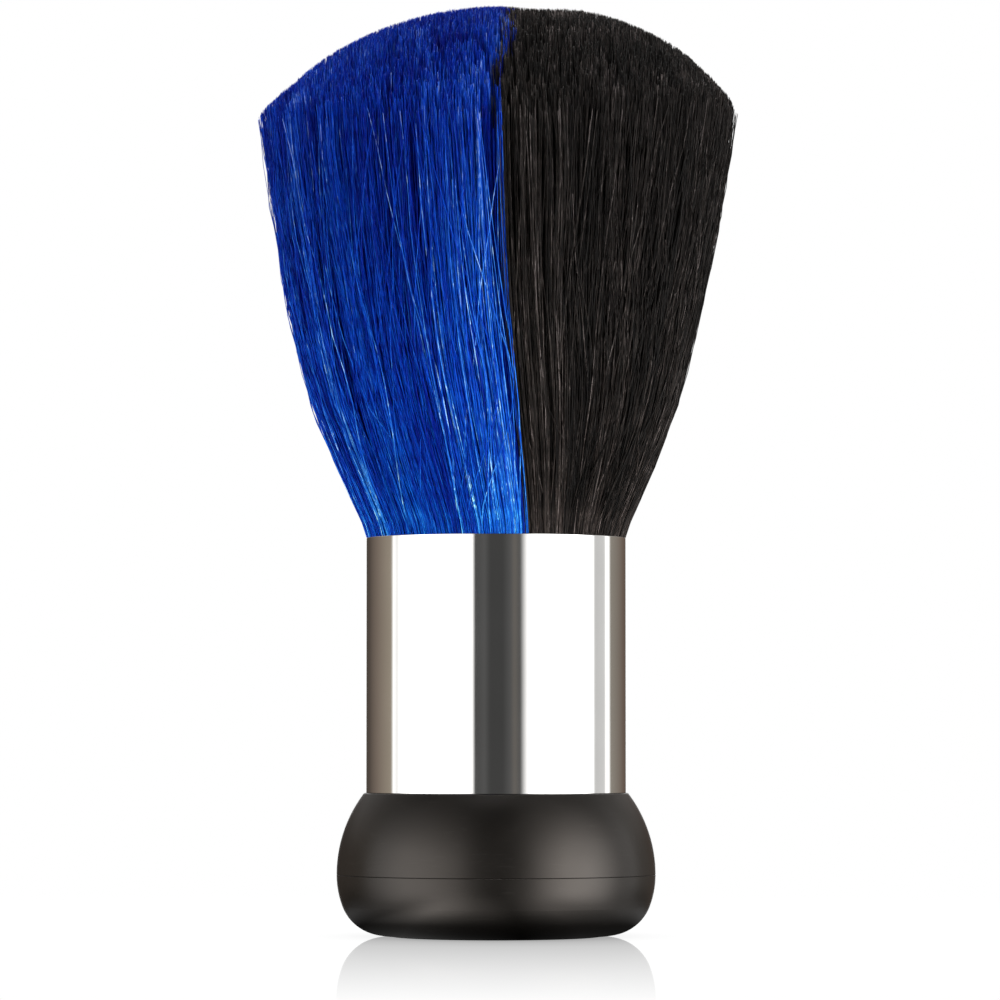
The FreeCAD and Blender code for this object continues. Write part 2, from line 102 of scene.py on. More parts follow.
# Hair. The side hairs run the whole way from the mouth, and the crown hairs are the tips inside them.
SEED = 11
ROOT_DEPTH = 4 * MM
SIDE_HAIRS = 20000
SIDE_SHARE = 0.8
SIDE_RINGS = 15
SIDE_STEPPING = 1.25
CROWN_HAIRS = 60000
CROWN_SHARE = 0.97
CROWN_RINGS = 2
CROWN_LENGTH = 17 * MM
PIECE_TRIANGLES = 190000
HAIR_MAP = "OFBake"

# One hair. Some are cut shorter than the rest.
HAIR_WIDTH = 0.2 * MM
WIDTH_RANGE = (0.75, 1.2)
TIP_TAPER = 0.6
TAPER_START = 0.4
POINT_LENGTH = 0.3 * MM
LENGTH_SCATTER = 0.08 * MM
SHORT_SHARE = 0.7
SHORT_SCATTER = 5 * MM
SIDE_SHORT_SCATTER = 11 * MM

# Hair gathers into small tufts and wide locks, with gaps between the locks.
LOCKS = 300
TUFTS = 3600
LOCK_PULL = 0.16
TUFT_PULL = 0.42
HOLD_RANGE = (0.5, 1.2)
BUNCH_WAVES = (0.5, 1.3)
LOCK_SWAY = 0.6 * MM
TUFT_SWAY = 0.22 * MM
GAP_WIDTH = 1.3 * MM
GAP_DEPTH = 0.5 * MM

# How far each hair strays from its place, less so near the mouth and near the division.
FREE_RATE = 3
DRIFT = math.radians(1.4)
FLYAWAY_SHARE = 0.045
FLYAWAY_RANGE = (0.985, 1.0)
FLYAWAY_DRIFT = math.radians(6.5)
WEAVE_DEPTH = 0.7 * MM
WEAVE_WAVES = (2.0, 6.0)
WEAVE_SWING = 0.09 * MM
SIDE_PLAY = 0.12 * MM
PLAY_RATE = 4
CALM_REACH = 13 * MM
CALM_LEAST = 0.1

# A hair's tone, from 0, dark, to 1, light, and how it varies.
TONE = 0.47
LOCK_TONE = 0.09
TUFT_TONE = 0.10
TONE_SCATTER = 0.13
STREAK_SCATTER = 0.11
CROWN_STREAK = 0.17
# Painted shade on crown hair and in the gaps between locks, and painted highlights on glint hairs.
CROWN_SHADE = 0.03
GAP_SHADE = 0.16
GLINT_SHARE = 0.008
GLINT_RANGE = (0.8, 1.0)
SHIMMER = 0.27
SHIMMER_SCALE = (22, 34, 1)
CORNER_SPREAD = 0.004
UV_MARGIN = 0.01

# Undercoat, the hair too deep to be seen one by one, coloured dark in painted shade.
COAT_INSET = 4.6 * MM
COAT_NECK = 1.8 * MM
COAT_SINK = 8.5 * MM
COAT_RINGS = 16
COAT_POINTS = 33
COAT_GAP = 0.15 * MM
COAT_RATE = 5
COAT_TOP = 0.02

rng = np.random.default_rng(SEED)


# Small helpers for materials.


def add(tree, kind, inputs=None, **settings):
    """Adds a shader node. A socket given as an input is linked, and anything else is its value."""
    node = tree.nodes.new("ShaderNode" + kind)
    for key, value in settings.items():
        setattr(node, key, value)
    for key, value in (inputs or {}).items():
        if isinstance(value, bpy.types.NodeSocket):
            tree.links.new(value, node.inputs[key])
        else:
            node.inputs[key].default_value = value
    return node


def math_node(tree, operation, first, second=0.0, clamp=False):
    node = add(tree, "Math", {0: first, 1: second}, operation=operation, use_clamp=clamp)
    return node.outputs[0]


def map_range(tree, value, source, target, smooth=False):
    kind = "SMOOTHSTEP" if smooth else "LINEAR"
    inputs = {"Value": value, "From Min": source[0], "From Max": source[1]}
    inputs.update({"To Min": target[0], "To Max": target[1]})
    return add(tree, "MapRange", inputs, interpolation_type=kind).outputs["Result"]


def ramp(tree, factor, stops):
    """A colour ramp through (position, colour) stops. A number stands for a grey."""
    node = add(tree, "ValToRGB", {"Fac": factor})
    elements = node.color_ramp.elements
    while len(elements) < len(stops):
        elements.new(0.5)
    for element, (position, colour) in zip(elements, stops):
        element.position = position
        grey = isinstance(colour, (int, float))
        element.color = (colour, colour, colour, 1) if grey else (*colour, 1)
    return node.outputs["Color"]


def spread_stops(stops, low, high):
    """Stops of a ramp whose places run from low to high, with their places brought to 0 to 1."""
    return [((place - low) / (high - low), shade) for place, shade in stops]


def blend_colours(tree, mode, factor, first, second):
    inputs = {"Factor": factor, 6: first, 7: second}
    return add(tree, "Mix", inputs, data_type="RGBA", blend_type=mode).outputs[2]


def noise(tree, vector, scale, detail=3.0, roughness=0.5):
    inputs = {"Vector": vector, "Scale": scale, "Detail": detail, "Roughness": roughness}
    return add(tree, "TexNoise", inputs).outputs["Fac"]


def stretched(tree, scale):
    """Object coordinates, scaled apart along each axis."""
    place = add(tree, "TexCoord").outputs["Object"]
    return add(tree, "Mapping", {"Vector": place, "Scale": scale}).outputs["Vector"]


def new_material(name):
    material = bpy.data.materials.new(name)
    material.use_nodes = True
    tree = material.node_tree
    tree.nodes.clear()
    return material, tree


def finish_material(tree, **inputs):
    """The surface shader and the output, with the given inputs."""
    named = {key.replace("_", " "): value for key, value in inputs.items()}
    shader = add(tree, "BsdfPrincipled", named)
    add(tree, "OutputMaterial", {"Surface": shader.outputs["BSDF"]})


# Materials.


def hair_material(name, tones, along, roughness, gloss):
    """Hair, coloured by its own tone across its UV map, and by painted light and shade up the map."""
    material, tree = new_material(name)
    place = add(tree, "UVMap", uv_map=HAIR_MAP).outputs["UV"]
    across = add(tree, "SeparateXYZ", {"Vector": place})
    # Noise shifts the tone along the hair: random tone, and short painted highlights at the light end.
    scale = add(tree, "Mapping", {"Vector": place, "Scale": SHIMMER_SCALE})
    shimmer = noise(tree, scale.outputs["Vector"], 1.0, 2.0)
    shift = map_range(tree, shimmer, (0.25, 0.75), (-SHIMMER, SHIMMER))
    tone = ramp(tree, math_node(tree, "ADD", across.outputs["X"], shift), tones)
    # The level ramp paints light and shade by height up the tuft.
    level = ramp(tree, across.outputs["Y"], along)
    colour = blend_colours(tree, "MULTIPLY", 1.0, tone, level)
    finish_material(tree, Base_Color=colour, Roughness=roughness, Specular_IOR_Level=gloss)
    return material


def blue_hair_material():
    tones = [
        (0.0, (0.000, 0.009, 0.230)),
        (0.3, (0.001, 0.040, 0.420)),
        (0.6, (0.004, 0.108, 0.630)),
        (0.85, (0.040, 0.250, 0.780)),
        # The whitish light end is painted highlight, reached by glint hairs and by the shimmer.
        (0.95, (0.160, 0.420, 0.880)),
        (1.0, (0.420, 0.720, 1.000)),
    ]
    # Painted light and shade by level: lighter near the ferrule, darkest at the top.
    along = [
        (0.0, (1.3, 1.65, 1.22)),
        (0.12, (1.0, 1.1, 1.08)),
        (0.27, (0.95, 1.05, 1.15)),
        (0.42, (0.88, 0.95, 1.08)),
        (0.74, (0.58, 0.50, 0.80)),
        (1.0, (0.17, 0.2, 0.5)),
    ]
    return hair_material("blue_hair", tones, along, 0.3, 0.06)


def black_hair_material():
    tones = [
        (0.0, (0.001, 0.0009, 0.0008)),
        (0.3, (0.005, 0.0043, 0.0040)),
        (0.55, (0.014, 0.012, 0.011)),
        (0.8, (0.042, 0.036, 0.034)),
        # The light end is painted highlight, reached by glint hairs and by the shimmer.
        (1.0, (0.14, 0.125, 0.125)),
    ]
    # Painted light and shade by level: brightest at the ferrule's mouth, with a darker band just above
    # it.
    along = [
        (0.0, (2.35, 2.15, 2.05)),
        (0.05, (1.1, 1.0, 0.94)),
        (0.1, (0.82, 0.75, 0.70)),
        (0.28, (1.1, 1.03, 0.98)),
        (0.75, (0.88, 0.84, 0.82)),
        (1.0, (0.95, 0.88, 0.85)),
    ]
    return hair_material("black_hair", tones, along, 0.3, 0.1)


def undercoat_material(name, colour):
    """The dense hair beneath, matt and dark in painted shade, with streaks along it."""
    material, tree = new_material(name)
    streaks = noise(tree, stretched(tree, (4000, 4000, 60)), 1.0, 2.0)
    dark = tuple(channel * 0.4 for channel in colour)
    shade = ramp(tree, streaks, [(0.35, dark), (0.7, colour)])
    finish_material(tree, Base_Color=shade, Roughness=0.8, Specular_IOR_Level=0.2)
    return material


def ferrule_material():
    """Bright plated tube, with the faint draw lines and the handling marks of a turned finish."""
    material, tree = new_material("ferrule_chrome")
    lines = noise(tree, stretched(tree, (1500, 1500, 25)), 1.0, 4.0)
    marks = noise(tree, stretched(tree, (90, 90, 60)), 1.0, 3.0)
    wear = math_node(tree, "MULTIPLY", lines, marks)
    roughness = map_range(tree, wear, (0.1, 0.5), (0.045, 0.085))
    colour = ramp(tree, marks, [(0.3, (0.86, 0.85, 0.83)), (0.7, (0.91, 0.90, 0.88))])
    bump = add(tree, "Bump", {"Strength": 0.02, "Distance": 0.02 * MM, "Height": lines})
    finish_material(
        tree,
        Base_Color=colour,
        Metallic=1.0,
        Roughness=roughness,
        Normal=bump.outputs["Normal"],
    )
    return material


def base_plastic_material():
    """Satin black moulding: fine grain, soft patches of polish and a few light rubs."""
    material, tree = new_material("base_plastic")
    grain = noise(tree, stretched(tree, (2600, 2600, 2600)), 1.0, 2.0)
    patches = noise(tree, stretched(tree, (120, 120, 160)), 1.0, 3.0)
    rubs = noise(tree, stretched(tree, (220, 220, 2400)), 1.0, 4.0)
    roughness = map_range(tree, patches, (0.3, 0.7), (0.30, 0.37))
    rubbed = ramp(tree, rubs, [(0.62, (0.004, 0.0035, 0.003)), (0.8, (0.012, 0.011, 0.010))])
    bump = add(tree, "Bump", {"Strength": 0.12, "Distance": 0.03 * MM, "Height": grain})
    finish_material(
        tree,
        Base_Color=rubbed,
        Roughness=roughness,
        Specular_IOR_Level=0.44,
        Specular_Tint=(1.0, 0.9, 0.82, 1),
        Normal=bump.outputs["Normal"],
    )
    return material


def speckled_material(name, dark, light, grain, roughness, metallic=0.0, relief=0.1):
    """A plain finish with grain of its own size, for the pieces inside and underneath."""
    material, tree = new_material(name)
    scale = 1 / grain
    speck = noise(tree, stretched(tree, (scale, scale, scale)), 1.0, 4.0)
    colour = ramp(tree, speck, [(0.35, dark), (0.65, light)])
    rough = map_range(tree, speck, (0.3, 0.7), roughness)
    bump = add(tree, "Bump", {"Strength": relief, "Distance": grain / 5, "Height": speck})
    finish_material(
        tree,
        Base_Color=colour,
        Metallic=metallic,
        Roughness=rough,
        Normal=bump.outputs["Normal"],
    )
    return material


def dress_nodes():
    """Gives every CAD piece that stays its finish."""
    base = base_plastic_material()
    core = speckled_material(
        "core_plastic", (0.10, 0.10, 0.10), (0.14, 0.14, 0.135), 0.5 * MM, (0.4, 0.55)
    )
    rubber = speckled_material(
        "pad_rubber", (0.012, 0.012, 0.012), (0.03, 0.03, 0.03), 0.25 * MM, (0.7, 0.9), relief=0.4
    )
    weight = speckled_material(
        "weight_steel", (0.22, 0.21, 0.2), (0.36, 0.35, 0.33), 0.8 * MM, (0.35, 0.6), 1.0
    )
    zinc = speckled_material(
        "zinc_steel", (0.46, 0.46, 0.47), (0.62, 0.62, 0.62), 0.3 * MM, (0.22, 0.36), 1.0
    )
    resin = speckled_material(
        "set_resin", (0.30, 0.17, 0.05), (0.42, 0.26, 0.09), 3 * MM, (0.15, 0.3)
    )
    cord = speckled_material(
        "cord_fibre", (0.42, 0.38, 0.3), (0.62, 0.58, 0.48), 0.12 * MM, (0.7, 0.9), relief=0.5
    )
    finishes = {
        "ferrule": ferrule_material(),
        "base_top_shell": base,
        "base_bottom_shell": base,
        "handle_core": core,
        "foot_pad": rubber,
        "base_weight": weight,
        "base_screw": zinc,
        "screw_washer": zinc,
        "resin_plug": resin,
        "binding_cord": cord,
    }
    for name, material in finishes.items():
        for slot in nodes[name].material_slots:
            slot.material = material


# The tuft's outline.


def read_outline():
    """Levels from the ferrule's mouth to the top, and the CAD tuft's radius at each."""
    mesh = nodes[TUFT].data
    corners = [vertex.co for vertex in mesh.vertices]
    tree = BVHTree.FromPolygons(corners, [tuple(face.vertices) for face in mesh.polygons])
    levels = np.linspace(MOUTH, TOP, OUTLINE_STEPS)
    radii = []
    for level in levels:
        hit = tree.ray_cast(Vector((-2 * WIDEST, 0, level)), Vector((1, 0, 0)))[0]
        radii.append(-hit.x if hit else 0.0)
    return levels, np.array(radii)


outline_levels, outline_radii = read_outline()
widest_step = int(outline_radii.argmax())
side_radii = np.maximum.accumulate(outline_radii)


def side(level):
    """Radius of the tuft's side: the CAD tuft's up to its widest, with its swells and hollows."""
    radius = np.interp(level, outline_levels, side_radii)
    rise = height_share(level)
    for place, reach, depth in SWELLS:
        radius = radius + depth * np.exp(-(((rise - place) / reach) ** 2))
    return radius


def dome(radius):
    """Level of the domed top at a radius."""
    rising = slice(None, widest_step - 1, -1)
    return np.interp(radius, outline_radii[rising], outline_levels[rising])


def lean(x):
    """How far the dome is trimmed off level: fuller on the +X side, with a slight dip there.

    The slope eases off towards both edges.
    """
    dip = DIP_DEPTH * np.exp(-(((x - DIP_PLACE) / DIP_REACH) ** 2))
    fade = 1 - LEAN_FADE * ease(np.clip((np.abs(x) - LEAN_END) / (WIDEST - LEAN_END), 0, 1))
    slope = DOME_LEAN * LEAN_REACH * np.tanh(x / LEAN_REACH * LEAN_BEND) / LEAN_BEND
    return slope * fade - dip


def trim(share, azimuth):
    """How far the tips stand above the CAD dome: full inside, and cut back towards the rim.

    They are cut back most at the front and the back.
    """
    rim = np.clip((share - RIM_START) / (1 - RIM_START), 0, 1)
    front = np.clip((share - FRONT_START) / (1 - FRONT_START), 0, 1)
    rounding = RIM_DROP * ease(rim) + FRONT_DROP * front**2 * np.cos(azimuth) ** 2
    return DOME_RISE + SHOULDER_RISE * np.sin(math.pi * share) ** 2 - rounding


def division_turn(level):
    """How far the hair at a level is turned from its place at the tips."""
    rise = np.maximum(level - MOUTH, 0)
    return ROOT_TURN * np.exp(-rise / TURN_FADE)


def division(y):
    """How far to +X the blue reaches over the tuft's top, at a distance y from its middle."""
    inner = ease(np.clip((APEX_REACH - np.abs(y)) / APEX_FADE, 0, 1))
    return DIVISION_SHIFT + APEX_SHIFT * inner


def crossing(points, blue):
    """How far each point of the hair has strayed over the division, to be taken back.

    It may stray further at the crown, where the colours mix.
    """
    x, y, level = points[..., 0], points[..., 1], points[..., 2]
    scale = WIDEST / side(level)
    azimuth = np.arctan2(x, -y)
    azimuth = azimuth - division_turn(level) * np.cos(azimuth) ** 2
    reach = np.hypot(x, y) * scale
    past = reach * np.sin(azimuth) - division(-reach * np.cos(azimuth))
    toward = np.where(blue, 1, -1)[:, None]
    high = ease(np.clip((height_share(level) - CROWN_START) / (1 - CROWN_START), 0, 1))
    allowed = CROSSING + CROWN_CROSSING * high
    return toward * np.maximum(past * toward - allowed, 0) / scale


def lay(share, azimuth, level):
    """Points of hair that follows the flare at its own share of the radius."""
    turned = azimuth + division_turn(level) * np.cos(azimuth) ** 2
    radius = share * side(level)
    return np.stack([radius * np.sin(turned), -radius * np.cos(turned), level], axis=-1)


def height_share(level):
    """0 at the ferrule's mouth, 1 at the top."""
    return np.clip((level - MOUTH) / (TOP - MOUTH), 0, 1)


def ease(share):
    return share * share * (3 - 2 * share)


# Hair.


def scatter(count, low, high):
    """Even places over the tuft's top: a share of the radius, and an azimuth."""
    share = np.sqrt(rng.uniform(low**2, high**2, count))
    azimuth = rng.uniform(-math.pi, math.pi, count)
    return share, azimuth


def spots(share, azimuth):
    return np.stack([share * np.sin(azimuth), -share * np.cos(azimuth)], axis=-1)


def nearest(points, centres):
    """For each point, the number of the centre nearest to it, and how near the next one comes."""
    tree = kdtree.KDTree(len(centres))
    for number, (x, y) in enumerate(centres):
        tree.insert((x, y, 0), number)
    tree.balance()
    found = [tree.find_n((x, y, 0), 2) for x, y in points]
    numbers = np.array([first[1] for first, _ in found])
    margins = np.array([second[2] - first[2] for first, second in found])
    return numbers, margins


def make_bunches(count, sway, tone_scatter):
    """Centres that hair gathers to, each with its own sway, phase and tone."""
    share, azimuth = scatter(count, 0, 1)
    return {
        "share": share,
        "azimuth": azimuth,
        "spots": spots(share, azimuth),
        "sway": rng.normal(0, sway, (count, 2)),
        "waves": rng.uniform(*BUNCH_WAVES, (count, 2)),
        "phase": rng.uniform(0, TURN, (count, 2)),
        "tone": rng.normal(0, tone_scatter, count),
    }


def swayed(bunches, number, rise):
    """Sideways offsets of the hair of each bunch, growing from nothing at the mouth."""
    waves = bunches["waves"][number][:, None, :] * rise[..., None] * TURN
    swing = np.sin(waves + bunches["phase"][number][:, None, :])
    swing = swing - np.sin(bunches["phase"][number])[:, None, :]
    return bunches["sway"][number][:, None, :] * swing * ease(rise)[..., None]


locks = make_bunches(LOCKS, LOCK_SWAY, LOCK_TONE)
tufts = make_bunches(TUFTS, TUFT_SWAY, TUFT_TONE)


def freed(rise, rate):
    """0 at the mouth, where the hair is held, growing to 1 at a rise of one over the rate."""
    return ease(np.minimum(rise * rate, 1))


def shift_round(points, azimuth, offset):
    """Moves the points of each hair sideways, round the brush."""
    points[..., 0] += offset * np.cos(azimuth)[:, None]
    points[..., 1] += offset * np.sin(azimuth)[:, None]


def tuft_bow(rise):
    """How far the whole tuft bends to +X at a height."""
    bow = TUFT_BOW * np.sin(math.pi * np.minimum(rise / BOW_REACH, 1)) ** 2
    tip_share = np.clip((rise - TIP_SHIFT_START) / (1 - TIP_SHIFT_START), 0, 1)
    return bow + TIP_SHIFT * ease(tip_share)


def comb(share, azimuth, levels, flyaway, mixing):
    """Points of every hair at its levels, drawn into its tuft and its lock, and its colour."""
    count = len(share)
    here = spots(share, azimuth)
    lock, margin = nearest(here, locks["spots"])
    tuft, _ = nearest(here, tufts["spots"])
    gap = np.clip(1 - margin * WIDEST / GAP_WIDTH, 0, 1)
    rise = height_share(levels)
    free = freed(rise, FREE_RATE)

    # Hair near the division sways less, so that the line between the colours stays clean.
    from_division = np.abs(here[:, 0]) * WIDEST
    calm = np.clip(from_division / CALM_REACH, CALM_LEAST, 1)
    points = lay(share[:, None], azimuth[:, None], levels)
    hold = rng.uniform(*HOLD_RANGE, count)[:, None] * ease(rise)
    for bunches, number, pull in ((locks, lock, LOCK_PULL), (tufts, tuft, TUFT_PULL)):
        centre = lay(bunches["share"][number][:, None], bunches["azimuth"][number][:, None], levels)
        centre_pull = np.where(flyaway, 0.0, pull)[:, None] * hold
        points[..., :2] += (centre_pull[..., None] * (centre - points))[..., :2]
        points[..., :2] += swayed(bunches, number, rise) * calm[:, None, None]

    # Each hair drifts off its line about a pivot, and weaves a little round the brush.
    stray = rng.normal(0, FLYAWAY_DRIFT, count)
    drift = np.where(flyaway, stray, rng.normal(0, DRIFT, count))
    pivot = rng.uniform(MOUTH, TOP, count)
    slant = np.tan(drift * calm)[:, None] * (levels - pivot[:, None]) * free
    shift_round(points, azimuth, slant)
    waves = rng.uniform(*WEAVE_WAVES, (count, 2)) * TURN
    phase = rng.uniform(0, TURN, (count, 2))
    swing = WEAVE_SWING * np.sin(waves[:, :1] * rise + phase[:, :1]) * free * calm[:, None]
    shift_round(points, azimuth, swing)

    # Hair takes its colour from where its tuft stands, and the colours mix a little at the division.
    division_line = division(tufts["spots"][tuft][:, 1] * WIDEST)
    division_line = division_line + rng.normal(0, mixing, count)
    blue = tufts["spots"][tuft][:, 0] * WIDEST < division_line

    # Nothing stands out past the tuft's side, and hair sinks in between the locks.
    limit = side(levels) + SIDE_PLAY * freed(rise, PLAY_RATE)
    reach = np.hypot(points[..., 0], points[..., 1])
    sink = WEAVE_DEPTH * (0.5 + 0.5 * np.sin(waves[:, 1:] * rise + phase[:, 1:]))
    sink = (sink + GAP_DEPTH * gap[:, None]) * free
    squeeze = np.minimum(1, limit / np.maximum(reach, TINY)) * (1 - sink / side(levels))
    points[..., :2] *= squeeze[..., None]
    points[..., 0] += tuft_bow(rise) - crossing(points, blue)
    return points, lock, tuft, gap, blue


def hair_set(count, low, high, rings, length):
    """Hairs between two shares of the radius: their points, tones, and which of them are blue.

    Side hairs have no length of their own, because they start below the mouth.
    """
    at_side = length is None
    share, azimuth = scatter(count, low, high)
    flyaway = (rng.random(count) < FLYAWAY_SHARE) & at_side
    share = np.where(flyaway, rng.uniform(*FLYAWAY_RANGE, count), share)
    tip = dome(share * WIDEST) + lean(share * WIDEST * np.sin(azimuth)) + trim(share, azimuth)
    tip += rng.normal(0, LENGTH_SCATTER, count)
    short = rng.random(count) < SHORT_SHARE
    cut = SIDE_SHORT_SCATTER if at_side else SHORT_SCATTER
    tip -= np.where(short, rng.exponential(cut, count), 0)
    root = np.full(count, MOUTH - ROOT_DEPTH) if at_side else tip - length
    steps = np.linspace(0, 1, rings) ** (SIDE_STEPPING if at_side else 1.0)
    shoulder = tip - POINT_LENGTH
    levels = root[:, None] + (shoulder - root)[:, None] * steps
    levels = np.concatenate([levels, tip[:, None]], axis=1)
    mixing = DIVISION_SCATTER if at_side else CROWN_MIXING
    points, lock, tuft, gap, blue = comb(share, azimuth, levels, flyaway, mixing)

    # A hair that its tuft has drawn in or out still ends as far under the dome as before.
    ends = points[:, -1]
    reached = np.hypot(ends[:, 0], ends[:, 1]) / side(ends[:, 2])
    settling = dome(np.minimum(reached, 1) * WIDEST) - dome(share * WIDEST)
    points[..., 2] += settling[:, None] * ease(height_share(levels))

    tone = TONE + locks["tone"][lock] + tufts["tone"][tuft] + rng.normal(0, TONE_SCATTER, count)
    # Hair in the gaps between locks is darkened: painted shade.
    tone -= GAP_SHADE * gap
    # Crown hair is made a little darker: painted shade.
    if not at_side:
        tone -= CROWN_SHADE
    # A few hairs are glints: their tone is set near the light end, a painted highlight.
    glint = rng.random(count) < GLINT_SHARE
    tone = np.where(glint, rng.uniform(*GLINT_RANGE, count), tone)
    streak = STREAK_SCATTER if at_side else CROWN_STREAK
    tones = tone[:, None] + rng.normal(0, streak, levels.shape)
    return points, tones, blue


def wall_faces(rings, corners):
    """Triangles of the wall between each ring of corners and the next."""
    faces = []
    for low in range(0, (rings - 1) * corners, corners):
        high = low + corners
        for corner in range(corners):
            after = (corner + 1) % corners
            faces.append((low + corner, low + after, high + after))
            faces.append((low + corner, high + after, high + corner))
    return faces


def hair_mesh(name, points, tone):
    """One mesh of closed, tapered, three-sided hairs. Each point of a hair has its own tone."""
    count, steps, _ = points.shape
    rings = steps - 1
    corners = rng.uniform(0, TURN, count)[:, None] + np.arange(3) * TURN / 3
    circle = np.stack([np.cos(corners), np.sin(corners), np.zeros_like(corners)], axis=-1)
    along = np.linspace(0, 1, rings)
    tapering = np.clip((along - TAPER_START) / (1 - TAPER_START), 0, 1)
    taper = 1 - (1 - TIP_TAPER) * tapering
    radius = HAIR_WIDTH / 2 * rng.uniform(*WIDTH_RANGE, count)
    radii = radius[:, None] * taper
    tubes = points[:, :-1, None, :] + circle[:, None] * radii[..., None, None]
    tubes = tubes.reshape(count, rings * 3, 3)
    vertices = np.concatenate([tubes, points[:, -1:, :]], axis=1)
    faces = wall_faces(rings, 3)
    last = (rings - 1) * 3
    faces += [(last + corner, last + (corner + 1) % 3, last + 3) for corner in range(3)]
    faces.append((0, 2, 1))
    each = vertices.shape[1]
    starts = np.arange(count)[:, None, None] * each
    triangles = (np.array(faces)[None] + starts).reshape(-1, 3)

    # Three corners at each ring, spread a little on the map, and one at the tip.
    spread = np.append(np.tile((-1, 0, 1), rings), 0) * CORNER_SPREAD
    u = np.clip(np.repeat(tone, 3, axis=1)[:, :-2], UV_MARGIN, 1 - UV_MARGIN) + spread
    v = UV_MARGIN + (1 - 2 * UV_MARGIN) * height_share(vertices[..., 2])
    uv = np.stack([u, v], axis=-1).reshape(-1, 2)
    return mesh_of(name, vertices.reshape(-1, 3), triangles, uv)


def mesh_of(name, vertices, triangles, uv=None):
    """A triangle mesh, with its map if it has one."""
    mesh = bpy.data.meshes.new(name)
    mesh.vertices.add(len(vertices))
    mesh.vertices.foreach_set("co", vertices.astype(np.float32).ravel())
    corners = triangles.astype(np.int32).ravel()
    mesh.loops.add(len(corners))
    mesh.loops.foreach_set("vertex_index", corners)
    mesh.polygons.add(len(triangles))
    mesh.polygons.foreach_set("loop_start", np.arange(0, len(corners), 3, dtype=np.int32))
    if uv is not None:
        layer = mesh.uv_layers.new(name=HAIR_MAP)
        layer.data.foreach_set("uv", uv[corners].astype(np.float32).ravel())
    mesh.update(calc_edges=True)
    mesh.validate()
    return mesh


def place_piece(mesh, material, node):
    """Puts a mesh in the scene in place of a CAD node."""
    mesh.materials.append(material)
    piece = bpy.data.objects.new(mesh.name, mesh)
    bpy.context.scene.collection.objects.link(piece)
    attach(piece, "root")
    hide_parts(node)


def undercoat_mesh(name, start, shift):
    """A closed half of the tuft, smaller than the tuft all round, between two azimuths."""
    azimuths = np.linspace(start, start + math.pi, COAT_POINTS)
    wall = np.linspace(MOUTH - ROOT_DEPTH, outline_levels[widest_step] - COAT_SINK, COAT_RINGS)
    widening = freed(height_share(wall), COAT_RATE)
    shares = 1 - (COAT_NECK + (COAT_INSET - COAT_NECK) * widening) / side(wall)
    cap_shares = np.linspace(shares[-1], COAT_TOP, COAT_RINGS)
    cap = dome(cap_shares * WIDEST) - COAT_SINK
    levels = np.concatenate([wall, cap])
    shares = np.concatenate([shares, cap_shares])
    points = lay(shares[:, None], azimuths[None, :], np.repeat(levels[:, None], COAT_POINTS, axis=1))
    points[..., 0] += shift
    faces = wall_faces(len(levels), COAT_POINTS)
    last = (len(levels) - 1) * COAT_POINTS
    for corner in range(1, COAT_POINTS - 1):
        faces.append((0, corner + 1, corner))
        faces.append((last, last + corner, last + corner + 1))
    return mesh_of(name, points.reshape(-1, 3), np.array(faces))


def make_hair():
    """Both colours: side hair in full length, the tips that make the dome, and the undercoat."""
    sides = hair_set(SIDE_HAIRS, SIDE_SHARE, 1.0, SIDE_RINGS, None)
    crown = hair_set(CROWN_HAIRS, 0.0, CROWN_SHARE, CROWN_RINGS, CROWN_LENGTH)
    # Each colour's undercoat is dark in painted shade.
    colours = (
        ("blue", blue_hair_material(), (0.000, 0.008, 0.060), -math.pi, -COAT_GAP),
        ("black", black_hair_material(), (0.003, 0.003, 0.003), 0.0, COAT_GAP),
    )
    for colour, material, deep, start, shift in colours:
        node, slot = f"{colour}_bristles", f"{colour}_hair"
        coat = undercoat_mesh(f"{colour}_undercoat", start, shift)
        place_piece(coat, undercoat_material(f"{colour}_undercoat", deep), node)
        for kind, (points, tone, blue) in (("side", sides), ("crown", crown)):
            chosen = np.flatnonzero(blue == (colour == "blue"))
            # Six triangles to each stretch between rings, three at the point and one at the foot.
            each = 6 * (points.shape[1] - 2) + 4
            portions = math.ceil(len(chosen) * each / PIECE_TRIANGLES)
            for number, part in enumerate(np.array_split(chosen, portions), start=1):
                mesh = hair_mesh(f"{colour}_{kind}_hair_{number}", points[part], tone[part])
                place_piece(mesh, material, node)


# Stage, light and camera.


# The floor is white to the camera. The brush sees only a glow near its base, in patches from -X to +X,
# and the studio through the rest of the floor.
FLOOR_REACH = 1.5
FLOOR_GLOSS = 0.62
FLOOR_ROUGHNESS = 0.02
FLOOR_IOR = 1.45
GLOSS_FADE = 0.227
CONTACT_REACH = 0.02
CONTACT_SHADE = 0.75
SHADOW_EDGE = (0.030, 0.050)
NEAR_FLOOR = (0.026, 0.034)
NEAR_GLOW = (0.09, 2.0)
GLOW_REACH = 0.03
GLOW_PATCHES = [(-0.85, 0.25), (-0.55, 1.9), (-0.2, 0.65), (0.15, 0.08), (0.5, 0.75), (0.8, 0.4)]

